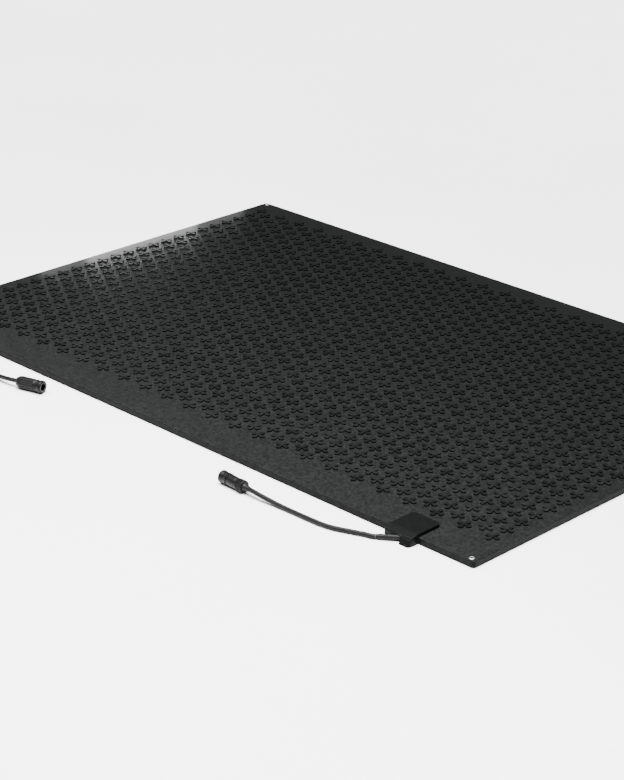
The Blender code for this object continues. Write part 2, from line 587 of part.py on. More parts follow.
def make_plug():
    """The left lead's end: a short collar, a ribbed barrel and a conical boot."""
    pose, (bottom, top) = lying(PLUG_FACE, PLUG_YAW), PLUG_PIN_Z
    make_collar("link_plug_collar", PLUG_COLLAR_R, PLUG_COLLAR, pose)
    make_shell("link_plug_shell", PLUG_COLLAR, PLUG_BARREL_R, PLUG_BARREL_END, PLUG_BORE_END, pose)
    pin = [(0, top), (PIN_R - PIN_TIP, top), (PIN_R, top - 2 * PIN_TIP), (PIN_R, bottom), (0, bottom)]
    make_insert("link_plug", PLUG_INSERT_Z, pin, pose)
    make_seal("link_plug_seal", pose)
    root_end = PLUG_BARREL_END + BOOT_DEPTH
    make_boot("link_plug_boot", BOOT_PLUG_R, root_end, PLUG_BARREL_END - GAP, PLUG_BOOT, pose)


def main():
    make_top_sheet()
    make_backing_sheet()
    make_layers()
    make_wiring()
    make_eyelets()
    make_box("right", 1)
    make_box("left", -1)
    make_lead("lead_right", SOCKET_ROUTE)
    make_lead("lead_left", PLUG_ROUTE)
    make_socket()
    make_plug()


clear_scene()
PARTS = new_collection("heat_mat")
CUTTERS = new_collection("heat_mat_cutters", hidden=True)
main()
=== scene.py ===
"""The looks of the linkable heat mat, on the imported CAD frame: metres, floor at Z = 0, the mat's middle
at the origin, the boxes and the leads on the -Y side."""

import math

import bmesh
import bpy
from mathutils import Euler, Matrix, Vector


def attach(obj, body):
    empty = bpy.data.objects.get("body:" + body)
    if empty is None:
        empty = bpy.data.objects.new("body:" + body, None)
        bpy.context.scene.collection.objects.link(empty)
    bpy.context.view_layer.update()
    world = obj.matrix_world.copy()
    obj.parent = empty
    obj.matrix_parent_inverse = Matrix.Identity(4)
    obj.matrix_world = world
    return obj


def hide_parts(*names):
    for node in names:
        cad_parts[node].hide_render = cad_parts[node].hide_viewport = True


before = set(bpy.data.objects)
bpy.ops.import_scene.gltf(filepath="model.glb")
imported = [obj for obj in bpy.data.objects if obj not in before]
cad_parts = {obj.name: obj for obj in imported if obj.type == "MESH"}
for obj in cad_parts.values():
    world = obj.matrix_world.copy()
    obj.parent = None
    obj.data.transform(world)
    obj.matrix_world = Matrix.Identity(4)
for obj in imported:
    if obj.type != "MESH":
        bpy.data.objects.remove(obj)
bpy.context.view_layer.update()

MM = 0.001
GAP = 0.3 * MM  # between the base and the mat's edge, and under the lid's pillars
MAT_X, MAT_Y, SHEET_Z, TREAD_Z = 1200 * MM, 800 * MM, 10 * MM, 12 * MM
MAT_CORNER, MAT_EDGE, MAT_FOOT_EDGE = 5 * MM, 1.2 * MM, 0.5 * MM
RIM, POCKET_Z = 16 * MM, 7 * MM
NOTCH_W, NOTCH_REAR = 42.6 * MM, -357.4 * MM
EYELET_IN_X, EYELET_IN_Y, EYELET_HOLE_R = 9 * MM, 6.5 * MM, 2.7 * MM
EYELET_CLEAR, EYELET_SHADE_R = 0.05 * MM, 2.2 * MM  # gap under the head, and how far the bore's painted shade reaches
WASHER_SEAT_R, WASHER_SEAT_Z = 4.5 * MM, 1.2 * MM

# Tread: crosses stand where row and column are both odd or both even
ROWS, COLUMNS = 48, 48
ROW_STEP, COLUMN_STEP = 14.655 * MM, 24.287 * MM
FIRST_ROW_Y, FIRST_COLUMN_X = -330.4 * MM, 571.75 * MM
PETAL_OUT, PETAL_R, WAIST = 7.8 * MM, 3.63 * MM, 1.0 * MM
PETAL_SWEEP, PETAL_STEPS = math.radians(112), 7
STUD_FOOT, STUD_DRAFT, STUD_EDGE = 9.7 * MM, 0.15 * MM, 0.3 * MM

# Junction boxes, mirrored about X = 0
BOX_X = 480.5 * MM
LID_W, LID_REAR, LID_FRONT = 49 * MM, -355 * MM, -412.5 * MM
LID_LOW, LID_TOP, LID_WALL = 10.3 * MM, 15 * MM, 1.8 * MM
LID_CORNERS, LID_EDGE = (1 * MM, 6.5 * MM), 0.9 * MM  # front and rear corners' radii
SLOPE_FROM, SLOPE_END_Z, SLOPE_SOFT = -400.5 * MM, 12.4 * MM, 1.5 * MM
SLOPE_CUTS, SLOPE_STEP = 23, 0.8 * MM  # cuts across the lid from its front edge, for the soft bend
LID_RIM, LID_REAR_RIM, PILLAR_BORE_TOP = 3.8 * MM, 5 * MM, 11 * MM
NECK_W, NECK_REAR, NECK_LAP, SEAT_PAST = 42 * MM, -357.7 * MM, 4 * MM, 0.1 * MM
BASE_TOP, BASE_FLOOR, BASE_WALL = 9.2 * MM, 3 * MM, 2 * MM
POST_IN, POST_OUT = 4 * MM, 24 * MM
POST_FOOT_Y, POST_TOP_Y, POST_Z = -418.5 * MM, -414.5 * MM, 9.7 * MM
POST_ROUND, POST_EDGE, POST_ROOT = 5 * MM, 0.9 * MM, 8 * MM
VENT_X, VENT_R, BASE_CORNER = 16 * MM, 0.6 * MM, 1.5 * MM
CABLE_SLOT_W, CABLE_SLOT_Z = 6 * MM, (3.4 * MM, 6.6 * MM)
LINK_SLOT_Y, LINK_SLOT_Z = (-378 * MM, -364 * MM), (3.6 * MM, 6.4 * MM)
PILLARS = ((13 * MM, -363.5 * MM), (-13 * MM, -398 * MM))
PILLAR_R, SCREW_HOLE_R, HEAD_HOLE_R, HEAD_HOLE_Z = 2.7 * MM, 1.6 * MM, 2.7 * MM, 1.9 * MM
GLAND_AT = Vector((-3 * MM, -413.5 * MM, 4.8 * MM))
GLAND_YAW, GLAND_DROP = math.radians(36), math.radians(2.6)
GLAND_TAIL, GLAND_HOLE_R, GLAND_HOLE_IN = 26 * MM, 4 * MM, 10 * MM

# Leads and couplings
LEAD_R = 3.4 * MM
SOCKET = (Vector((194.2 * MM, -456.9 * MM, 9.25 * MM)), math.radians(177.5))
PLUG = (Vector((-212.1 * MM, -442.6 * MM, 9.95 * MM)), math.radians(15.5))
PIN_RING_R = 2.9 * MM
ROUTES = {
    "right": (
        (456.0, -429.1, 3.6), (453.1, -431.0, 3.5), (447.6, -432.9, 3.5), (441.0, -435.0, 3.5),
        (433.2, -438.1, 3.5), (425.3, -441.3, 3.5), (417.4, -444.7, 3.5), (409.5, -447.9, 3.5),
        (401.5, -450.8, 3.5),
        (392.5, -453.1, 3.5), (382.0, -454.6, 3.5), (368.0, -455.4, 3.5), (351.0, -455.9, 3.5),
        (334.0, -456.1, 3.5), (318.0, -456.5, 3.7), (306.5, -457.1, 4.3), (295.5, -457.7, 5.2),
        (285.0, -458.6, 6.4), (275.0, -459.4, 7.6), (266.0, -459.8, 8.6), (258.0, -459.7, 9.2),
        (251.3, -459.4, 9.25),
    ),
    "left": (
        (-456.0, -429.1, 3.6), (-452.6, -431.8, 3.5), (-443.0, -440.8, 3.5), (-431.0, -453.6, 3.5),
        (-416.0, -465.4, 3.5), (-399.0, -472.6, 3.5), (-382.0, -473.6, 3.5), (-366.0, -470.4, 3.5),
        (-351.0, -465.4, 3.5), (-337.0, -461.4, 3.7), (-324.0, -459.4, 4.3), (-311.0, -459.0, 5.4),
        (-298.0, -459.4, 6.9), (-286.0, -459.7, 8.3), (-275.0, -459.2, 9.4), (-266.5, -457.7, 9.9),
        (-260.1, -455.95, 9.95),
    ),
}


# ---------------------------------------------------------------- materials


def new_material(name):
    material = bpy.data.materials.new(name)
    material.use_nodes = True
    nodes, links = material.node_tree.nodes, material.node_tree.links
    return material, nodes, links, nodes["Principled BSDF"]


def noise(nodes, links, source, scale, detail=3):
    texture = nodes.new("ShaderNodeTexNoise")
    texture.inputs["Scale"].default_value = scale
    texture.inputs["Detail"].default_value = detail
    links.new(source, texture.inputs["Vector"])
    return texture.outputs["Fac"]


def ramp(nodes, links, source, dark, light, start=0.35, end=0.65):
    made = nodes.new("ShaderNodeValToRGB")
    for element, place, colour in zip(made.color_ramp.elements, (start, end), (dark, light)):
        element.position, element.color = place, (*colour, 1)
    links.new(source, made.inputs["Fac"])
    return made.outputs["Color"]


def spread_over(nodes, links, source, low, high):
    made = nodes.new("ShaderNodeMapRange")
    made.inputs["From Min"].default_value, made.inputs["From Max"].default_value = 0.3, 0.7
    made.inputs["To Min"].default_value, made.inputs["To Max"].default_value = low, high
    links.new(source, made.inputs["Value"])
    return made.outputs["Result"]


def bump(nodes, links, source, strength, depth):
    made = nodes.new("ShaderNodeBump")
    made.inputs["Strength"].default_value, made.inputs["Distance"].default_value = strength, depth
    links.new(source, made.inputs["Height"])
    return made.outputs["Normal"]


def painted_rear_shade(nodes, links, place, source, amount):
    """The pattern, sinking by the amount from the mat's front edge to its rear edge: painted shade, darker
    towards the rear.
    """
    split = nodes.new("ShaderNodeSeparateXYZ")
    links.new(place, split.inputs["Vector"])
    share = nodes.new("ShaderNodeMapRange")
    share.inputs["From Min"].default_value, share.inputs["From Max"].default_value = -MAT_Y / 2, MAT_Y / 2
    share.inputs["To Max"].default_value = amount
    links.new(split.outputs["Y"], share.inputs["Value"])
    darkened = nodes.new("ShaderNodeMath")
    darkened.operation = "SUBTRACT"
    links.new(source, darkened.inputs[0])
    links.new(share.outputs["Result"], darkened.inputs[1])
    return darkened.outputs["Value"]


def mottled(
    name, dark, light, rough, patch, grain, relief, metallic=0.0, specular=0.5, stretch=(1, 1, 1), rear_shade=0.0
):
    """A solid finish whose colour drifts in patches and whose surface has a fine grain.
    rough is the lowest and highest roughness; patch and grain are features to the metre.
    The last argument is how far the patch pattern sinks towards the mat's rear edge: painted shade, darker
    towards the rear."""
    material, nodes, links, shader = new_material(name)
    place = nodes.new("ShaderNodeTexCoord").outputs["Object"]
    mapping = nodes.new("ShaderNodeMapping")
    mapping.inputs["Scale"].default_value = stretch
    links.new(place, mapping.inputs["Vector"])
    patches = noise(nodes, links, mapping.outputs["Vector"], patch, 5)
    # painted shade: the colour darkens towards the mat's rear edge
    if rear_shade:
        patches = painted_rear_shade(nodes, links, place, patches, rear_shade)
    grains = noise(nodes, links, mapping.outputs["Vector"], grain, 2)
    links.new(ramp(nodes, links, patches, dark, light), shader.inputs["Base Color"])
    links.new(spread_over(nodes, links, grains, *rough), shader.inputs["Roughness"])
    links.new(bump(nodes, links, grains, relief, 0.3 * MM), shader.inputs["Normal"])
    shader.inputs["Metallic"].default_value = metallic
    shader.inputs["Specular IOR Level"].default_value = specular
    return material


FINISHES = {
    # the sheet's rubber, with painted shade darkening it towards the mat's rear edge
    "sheet_rubber": mottled(
        "Sheet rubber", (0.0046, 0.0049, 0.0049), (0.0108, 0.0112, 0.0112),
        (0.38, 0.5), 260, 900, 0.4, specular=0.03, rear_shade=0.2,
    ),
    # the sheet's side faces: the same rubber darker, painted shade
    "sheet_edge_painted_shade": mottled(
        "Sheet edge, painted shade", (0.0030, 0.0032, 0.0032), (0.0056, 0.0058, 0.0058),
        (0.4, 0.5), 110, 900, 0.3, specular=0.03,
    ),
    # the crosses' tops: the sheet's rubber made darker, and darker towards the rear, as painted shade
    "stud_top_painted_shade": mottled(
        "Stud top, painted shade", (0.0034, 0.0037, 0.0037), (0.0084, 0.0087, 0.0087),
        (0.38, 0.5), 45, 900, 0.4, specular=0.03, rear_shade=0.2,
    ),
    # the crosses' walls: the same rubber much darker, painted shade
    "stud_wall_painted_shade": mottled(
        "Stud wall, painted shade", (0.0007, 0.0007, 0.0007), (0.0013, 0.0013, 0.0013),
        (0.5, 0.6), 90, 900, 0.2, specular=0.02,
    ),
    "box_plastic": mottled(
        "Box plastic", (0.0019, 0.0021, 0.0021), (0.0030, 0.0032, 0.0032),
        (0.36, 0.44), 150, 1800, 0.25, specular=0.06,
    ),
    "coupling_plastic": mottled(
        "Coupling plastic", (0.0042, 0.0042, 0.0042), (0.0064, 0.0064, 0.0064),
        (0.3, 0.38), 200, 1600, 0.2, specular=0.09,
    ),
    "lead_sheath": mottled(
        "Lead sheath", (0.0050, 0.0050, 0.0050), (0.0076, 0.0076, 0.0076),
        (0.34, 0.44), 250, 1500, 0.25, specular=0.09,
    ),
    "seal_rubber": mottled(
        "Seal rubber", (0.022, 0.022, 0.022), (0.034, 0.034, 0.034),
        (0.65, 0.75), 300, 1500, 0.3,
    ),
    "bright_steel": mottled(
        "Bright steel", (0.30, 0.29, 0.31), (0.42, 0.41, 0.43),
        (0.32, 0.46), 900, 4000, 0.1, metallic=1.0,
    ),
    # the eyelets' bore: dark and dull in place of the steel, painted shade in the hole
    "eyelet_bore_painted_shade": mottled(
        "Eyelet bore, painted shade", (0.012, 0.012, 0.012), (0.03, 0.03, 0.03),
        (0.5, 0.6), 900, 4000, 0.1, specular=0.2,
    ),
    "contact_brass": mottled(
        "Contact brass", (0.62, 0.42, 0.17), (0.78, 0.56, 0.27),
        (0.2, 0.32), 800, 3000, 0.1, metallic=1.0,
    ),
    "foil": mottled(
        "Foil", (0.66, 0.66, 0.68), (0.82, 0.82, 0.84),
        (0.28, 0.42), 60, 300, 0.6, metallic=1.0,
    ),
    "carrier_glass": mottled(
        "Glass cloth", (0.62, 0.6, 0.52), (0.8, 0.78, 0.7),
        (0.75, 0.9), 400, 900, 0.6, stretch=(1, 6, 1),
    ),
    "cable_silicone": mottled(
        "Cable silicone", (0.34, 0.035, 0.025), (0.5, 0.07, 0.045),
        (0.45, 0.6), 200, 1200, 0.2,
    ),
    "core_live": mottled(
        "Live core", (0.17, 0.07, 0.028), (0.26, 0.11, 0.045),
        (0.4, 0.5), 300, 1500, 0.15,
    ),
    "core_neutral": mottled(
        "Neutral core", (0.03, 0.09, 0.34), (0.05, 0.14, 0.46),
        (0.4, 0.5), 300, 1500, 0.15,
    ),
    "core_earth": mottled(
        "Earth core", (0.10, 0.30, 0.04), (0.55, 0.52, 0.05),
        (0.4, 0.5), 120, 1500, 0.15,
    ),
    "terminal_nylon": mottled(
        "Terminal nylon", (0.54, 0.52, 0.44), (0.68, 0.66, 0.58),
        (0.42, 0.55), 150, 1600, 0.15,
    ),
}


# ---------------------------------------------------------------- shapes


def finished(bm, name="shape"):
    bmesh.ops.recalc_face_normals(bm, faces=bm.faces)
    mesh = bpy.data.meshes.new(name)
    bm.to_mesh(mesh)
    bm.free()
    return mesh


def box_shape(low, high):
    """A box as an open bmesh, to be worked on."""
    bm = bmesh.new()
    bmesh.ops.create_cube(bm, size=1)
    low, high = Vector(low), Vector(high)
    for vert in bm.verts:
        vert.co = [(low[k] + high[k]) / 2 + vert.co[k] * (high[k] - low[k]) for k in range(3)]
    return bm


def bevel(bm, edges, width, steps):
    bmesh.ops.bevel(bm, geom=edges, offset=width, segments=steps, profile=0.5, affect="EDGES")


def upright(bm, where=lambda edge: True):
    return [e for e in bm.edges if abs((e.verts[0].co - e.verts[1].co).normalized().z) > 0.8 and where(e)]


def at_height(bm, height):
    return [e for e in bm.edges if all(abs(v.co.z - height) < 0.01 * MM for v in e.verts)]


def rod(radius, low, high, sides=32, at=(0, 0)):
    bm, depth = bmesh.new(), high - low
    bmesh.ops.create_cone(bm, cap_ends=True, segments=sides, radius1=radius, radius2=radius, depth=depth)
    bmesh.ops.translate(bm, verts=bm.verts, vec=(*at, (low + high) / 2))
    return finished(bm)


def block(low, high):
    return finished(box_shape(low, high))


def carved(mesh, cuts, operation="DIFFERENCE"):
    """The mesh with the other meshes cut out of it or joined to it."""
    body = bpy.data.objects.new("body", mesh)
    bpy.context.scene.collection.objects.link(body)
    tools = []
    for cut in cuts:
        tool = bpy.data.objects.new("tool", cut)
        bpy.context.scene.collection.objects.link(tool)
        step = body.modifiers.new("step", "BOOLEAN")
        step.operation, step.solver, step.object = operation, "EXACT", tool
        tools.append(tool)
    made = bpy.data.meshes.new_from_object(body.evaluated_get(bpy.context.evaluated_depsgraph_get()))
    for used in (body, *tools):
        bpy.data.objects.remove(used, do_unlink=True)
    return made


def piece(name, mesh, finish, nodes, body="mat", crease=35):
    """A visible piece in its finish, in place of the CAD nodes and on their body."""
    mesh.name = name
    mesh.materials.clear()
    for part in finish if isinstance(finish, tuple) else (finish,):
        mesh.materials.append(FINISHES[part])
    mesh.shade_smooth()
    mesh.set_sharp_from_angle(angle=math.radians(crease))
    obj = bpy.data.objects.new(name, mesh)
    bpy.context.scene.collection.objects.link(obj)
    weighted = obj.modifiers.new("even shading", "WEIGHTED_NORMAL")
    weighted.keep_sharp = True
    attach(obj, body)
    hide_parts(*nodes)
    return obj


def softened(profile, steps=3):
    """The profile's (radius, height, rounding) points as (radius, height) points, each corner rounded."""
    points = [Vector(p[:2]) for p in profile]
    made = []
    for i, (point, spec) in enumerate(zip(points, profile)):
        width = spec[2] if len(spec) > 2 else 0
        if not width or i in (0, len(points) - 1):
            made.append(point)
            continue
        before = point + (points[i - 1] - point).normalized() * width
        after = point + (points[i + 1] - point).normalized() * width
        for k in range(steps + 1):
            t = k / steps
            made.append(before * (1 - t) ** 2 + point * 2 * t * (1 - t) + after * t**2)
    return made


def pose_matrix(pose):
    place, turn = pose
    return Matrix.Translation(place) @ Euler(turn).to_matrix().to_4x4()


def turned(profile, pose, sides=64, ribs=None):
    """A mesh turned about its own Z axis. The profile runs from the axis, or round a closed ring.
    ribs is (how many, how deep, from height, to height) of the grooves along it."""
    line = softened(profile)
    closed = line[0].x > 0
    bm = bmesh.new()
    rings = []
    for radius, height in line:
        if radius == 0:
            rings.append([bm.verts.new((0, 0, height))] * sides)
            continue
        ring = []
        for k in range(sides):
            angle = 2 * math.pi * k / sides
            depth = 0
            if ribs and ribs[2] > height > ribs[3]:
                depth = ribs[1] * (0.5 - 0.5 * math.cos(ribs[0] * angle)) ** 2
            reach = radius - depth
            ring.append(bm.verts.new((reach * math.cos(angle), reach * math.sin(angle), height)))
        rings.append(ring)
    pairs = list(zip(rings, rings[1:] + ([rings[0]] if closed else [])))
    for one, other in pairs if closed else pairs[: len(rings) - 1]:
        for k in range(sides):
            corners = (one[k], one[(k + 1) % sides], other[(k + 1) % sides], other[k])
            bm.faces.new(list(dict.fromkeys(corners)))
    bmesh.ops.transform(bm, matrix=pose_matrix(pose), verts=bm.verts)
    return finished(bm)


def posed(mesh, pose):
    mesh.transform(pose_matrix(pose))
    return mesh


# ---------------------------------------------------------------- mat


def sides():
    return ("right", 1), ("left", -1)


def corners():
    for row, y in (("front", -1), ("rear", 1)):
        for column, x in (("left", -1), ("right", 1)):
            yield f"{row}_{column}", x * (MAT_X / 2 - EYELET_IN_X), y * (MAT_Y / 2 - EYELET_IN_Y)


def make_sheet():
    half_x, half_y = MAT_X / 2, MAT_Y / 2
    bm = box_shape((-half_x, -half_y, 0), (half_x, half_y, SHEET_Z))
    bevel(bm, upright(bm), MAT_CORNER, 10)
    bevel(bm, at_height(bm, SHEET_Z), MAT_EDGE, 4)
    bevel(bm, at_height(bm, 0), MAT_FOOT_EDGE, 2)
    cuts = [block((RIM - half_x, RIM - half_y, -SHEET_Z), (half_x - RIM, half_y - RIM, POCKET_Z))]
    for _, side in sides():
        low = (side * BOX_X - NOTCH_W / 2, -MAT_Y, -SHEET_Z)
        cuts.append(block(low, (side * BOX_X + NOTCH_W / 2, NOTCH_REAR, 2 * SHEET_Z)))
    for _, x, y in corners():
        cuts.append(rod(EYELET_HOLE_R, -SHEET_Z, 2 * SHEET_Z, at=(x, y)))
        cuts.append(rod(WASHER_SEAT_R, -SHEET_Z, WASHER_SEAT_Z, at=(x, y)))
    sheet = piece("mat_sheet", carved(finished(bm), cuts), ("sheet_rubber", "sheet_edge_painted_shade"), ["top_sheet"])
    # side faces take the darker edge rubber: painted shade
    for face in sheet.data.polygons:
        face.material_index = int(abs(face.normal.z) < 0.5)


def stud_outline(inset):
    """One cross: four round petals whose arms narrow to the waist."""
    radius, waist = PETAL_R - inset, WAIST - inset
    outline = []
    for arm in range(4):
        turn = Matrix.Rotation(math.pi / 2 * arm, 2)
        points = [Vector((waist, -waist))]
        for k in range(PETAL_STEPS + 1):
            angle = PETAL_SWEEP * (2 * k / PETAL_STEPS - 1)
            points.append(Vector((PETAL_OUT + radius * math.cos(angle), radius * math.sin(angle))))
        outline += [turn @ p for p in points]
    return outline


def make_studs(name, rows):
    """The raised crosses of some of the rows, as one piece. Each is a drafted wall and a softened top; the
    walls take a much darker rubber as painted shade.
    """
    levels = ((0, STUD_FOOT), (STUD_DRAFT, TREAD_Z - STUD_EDGE), (STUD_DRAFT + STUD_EDGE, TREAD_Z))
    rings = [[(p.x, p.y, z) for p in stud_outline(inset)] for inset, z in levels]
    count = len(rings[0])
    verts, faces, shaded_walls = [], [], []
    for row in rows:
        for column in range(row % 2, COLUMNS, 2):
            x, y = FIRST_COLUMN_X - column * COLUMN_STEP, FIRST_ROW_Y + row * ROW_STEP
            base = len(verts)
            verts += [(x + a, y + b, c) for ring in rings for a, b, c in ring]
            faces.append([base + k for k in reversed(range(count))])
            faces.append([base + 2 * count + k for k in range(count)])
            shaded_walls += [1, 0]
            for level in range(2):
                low = base + level * count
                for k in range(count):
                    after = (k + 1) % count
                    faces.append([low + k, low + after, low + count + after, low + count + k])
                    shaded_walls.append(1 - level)
    mesh = bpy.data.meshes.new(name)
    mesh.from_pydata(verts, [], faces)
    # the tops take a darker copy of the sheet's rubber and the walls a much darker one: painted shade
    studs = piece(name, mesh, ("stud_top_painted_shade", "stud_wall_painted_shade"), ["top_sheet"], crease=60)
    studs.data.polygons.foreach_set("material_index", shaded_walls)


def make_eyelets():
    head = SHEET_Z + EYELET_CLEAR
    for name, x, y in corners():
        profile = [
            (1.8 * MM, 0.3 * MM), (1.8 * MM, head + 0.6 * MM, 0.4 * MM), (2.9 * MM, head + MM, 0.5 * MM),
            (4.1 * MM, head + 0.5 * MM, 0.4 * MM), (4.2 * MM, head), (2.4 * MM, head), (2.4 * MM, 0.3 * MM),
        ]
        mesh = turned(profile, ((x, y, 0), (0, 0, 0)), 48)
        eyelet = piece(f"corner_eyelet_{name}", mesh, ("eyelet_bore_painted_shade", "bright_steel"), [f"eyelet_{name}"])
        # faces near the axis, the bore, take the dark dull finish in place of steel: painted shade in the
        # hole
        for face in eyelet.data.polygons:
            face.material_index = int(math.hypot(face.center.x - x, face.center.y - y) > EYELET_SHADE_R)


# ---------------------------------------------------------------- junction boxes


def lid_height(y):
    """The lid's height over a point: level at the rear, and falling to the front edge."""
    fall = (LID_TOP - SLOPE_END_Z) / (SLOPE_FROM - LID_FRONT)
    past = SLOPE_FROM - y
    return LID_TOP - fall * (past + math.hypot(past, SLOPE_SOFT)) / 2


def lid_shell(middle):
    bm = box_shape((middle - LID_W / 2, LID_FRONT, LID_LOW), (middle + LID_W / 2, LID_REAR, LID_TOP))
    halfway = (LID_FRONT + LID_REAR) / 2
    bevel(bm, upright(bm, lambda e: e.verts[0].co.y < halfway), LID_CORNERS[0], 4)
    bevel(bm, upright(bm, lambda e: e.verts[0].co.y > halfway), LID_CORNERS[1], 9)
    bevel(bm, at_height(bm, LID_TOP), LID_EDGE, 4)
    for step in range(1, SLOPE_CUTS + 1):
        across = (0, LID_FRONT + step * SLOPE_STEP, 0)
        geometry = [*bm.verts, *bm.edges, *bm.faces]
        bmesh.ops.bisect_plane(bm, geom=geometry, plane_co=across, plane_no=(0, 1, 0), dist=MM / 1000)
    for vert in bm.verts:
        share = (lid_height(vert.co.y) - LID_LOW) / (LID_TOP - LID_LOW)
        vert.co.z = LID_LOW + (vert.co.z - LID_LOW) * share
    return finished(bm)


def pillar_spots(side):
    return [(side * (BOX_X + out), y) for out, y in PILLARS]


def make_lid(name, side):
    middle, inner = side * BOX_X, LID_W / 2 - LID_RIM
    high = (middle + inner, LID_REAR - LID_REAR_RIM, LID_TOP - LID_WALL)
    room = block((middle - inner, SLOPE_FROM, 0), high)
    lid = carved(lid_shell(middle), [room])
    spots = pillar_spots(side)
    top = LID_TOP - LID_WALL / 2
    lid = carved(lid, [rod(PILLAR_R, BASE_FLOOR + GAP, top, 24, at) for at in spots], "UNION")
    lid = carved(lid, [rod(SCREW_HOLE_R, 0, PILLAR_BORE_TOP, 24, at) for at in spots])
    piece(f"box_lid_{name}", lid, "box_plastic", [f"junction_lid_{name}"])


def gland_pose(side):
    """Where the strain relief crosses the box's front wall, and how it points out of it."""
    place = Vector((side * (BOX_X + GLAND_AT.x), GLAND_AT.y, GLAND_AT.z))
    yaw = -math.pi + GLAND_YAW if side > 0 else -GLAND_YAW
    return place, (0, math.pi / 2 + GLAND_DROP, yaw)


def post(side):
    """The rounded post at the outer front corner, wider at its foot."""
    low, high = sorted(side * (BOX_X + x) for x in (POST_IN, POST_OUT))
    bm = box_shape((low, POST_FOOT_Y, 0), (high, LID_FRONT + POST_ROOT, POST_Z))
    for vert in bm.verts:
        if vert.co.z > 0 and vert.co.y < LID_FRONT:
            vert.co.y = POST_TOP_Y
    bevel(bm, upright(bm, lambda e: e.verts[0].co.y < LID_FRONT), POST_ROUND, 8)
    bevel(bm, [e for e in at_height(bm, POST_Z) if e.verts[0].co.y < LID_FRONT], POST_EDGE, 3)
    return finished(bm)


def wire_slots(side):
    """The ways in: for the heating cable at the neck's rear, for the link wires at its inner side."""
    middle, through = side * BOX_X, BASE_WALL + MM
    low = (middle - CABLE_SLOT_W / 2, NECK_REAR - through, CABLE_SLOT_Z[0])
    cable = block(low, (middle + CABLE_SLOT_W / 2, NECK_REAR + MM, CABLE_SLOT_Z[1]))
    wall = middle - side * NECK_W / 2
    low = (wall - through, LINK_SLOT_Y[0], LINK_SLOT_Z[0])
    return [cable, block(low, (wall + through, LINK_SLOT_Y[1], LINK_SLOT_Z[1]))]


def screw_holes(side):
    for at in pillar_spots(side):
        yield rod(SCREW_HOLE_R, -SHEET_Z, SHEET_Z, 24, at)
        yield rod(HEAD_HOLE_R, -SHEET_Z, HEAD_HOLE_Z, 24, at)


def make_base(name, side):
    """The tray: a wide front beyond the mat's edge, a neck in its notch, and the post."""
    middle, edge = side * BOX_X, -MAT_Y / 2 - GAP
    bm = box_shape((middle - LID_W / 2, LID_FRONT, 0), (middle + LID_W / 2, edge, BASE_TOP))
    bevel(bm, upright(bm, lambda e: e.verts[0].co.y < edge), BASE_CORNER, 4)
    neck = block((middle - NECK_W / 2, edge - NECK_LAP, 0), (middle + NECK_W / 2, NECK_REAR, BASE_TOP))
    base = carved(finished(bm), [neck, post(side)], "UNION")
    seat = block((middle - LID_W, LID_FRONT - SEAT_PAST, BASE_TOP), (middle + LID_W, LID_REAR, 2 * POST_Z))
    inner = NECK_W / 2 - BASE_WALL
    low = (middle - inner, LID_FRONT + BASE_WALL, BASE_FLOOR)
    cavity = block(low, (middle + inner, NECK_REAR - BASE_WALL, SHEET_Z))
    gland_hole = posed(rod(GLAND_HOLE_R, -GLAND_HOLE_IN, GLAND_TAIL), gland_pose(side))
    vent_spot = (side * (BOX_X + VENT_X), (POST_TOP_Y + POST_FOOT_Y) / 2, POST_Z / 2)
    vent = posed(rod(VENT_R, -MM, MM, 16), (vent_spot, (math.pi / 2, 0, 0)))
    cuts = [seat, cavity, *wire_slots(side), gland_hole, vent, *screw_holes(side)]
    piece(f"box_base_{name}", carved(base, cuts), "box_plastic", [f"junction_base_{name}"])


def in_mm(*points):
    return [tuple(c * MM for c in p) for p in points]


def make_strain_relief(name, side):
    """The tapered relief, with two grooves, from inside the box to the lead."""
    profile = in_mm(
        (0, 26), (3.4, 26, 0.3), (3.6, 24.5, 0.3), (3.9, 15.5), (3.6, 15, 0.2), (3.6, 14, 0.2),
        (4.0, 13.5, 0.2), (4.05, 12), (3.7, 11.5, 0.2), (3.7, 10.5, 0.2), (4.2, 10, 0.2), (4.2, 6.5),
        (3.7, 6.5), (3.7, -7), (0, -7),
    )
    mesh = turned(profile, gland_pose(side), 40)
    return piece(f"lead_relief_{name}", mesh, "lead_sheath", [f"strain_relief_{name}"])


# ---------------------------------------------------------------- leads and couplings


def lying(spot):
    face, yaw = spot
    return face, (0, math.pi / 2, yaw)


def contact(name, node, pose, index, profile):
    """One contact, on the ring round the coupling's axis."""
    place, turn = pose
    angle = math.radians(90 + 120 * index)
    out = Euler(turn).to_matrix() @ Vector((PIN_RING_R * math.cos(angle), PIN_RING_R * math.sin(angle), 0))
    return piece(name, turned(profile, (place + out, turn), 24), "contact_brass", [node])


def contacts(end, pose, profile):
    made = []
    for index, core in enumerate(("live", "neutral", "earth")):
        made.append(contact(f"{end}_pin_{core}", f"link_{end}_contact_{core}", pose, index, profile))
    return made


def coupling_piece(name, mesh, finish, node, body="mat"):
    return piece(name, mesh, finish, [f"link_{node}"], body)


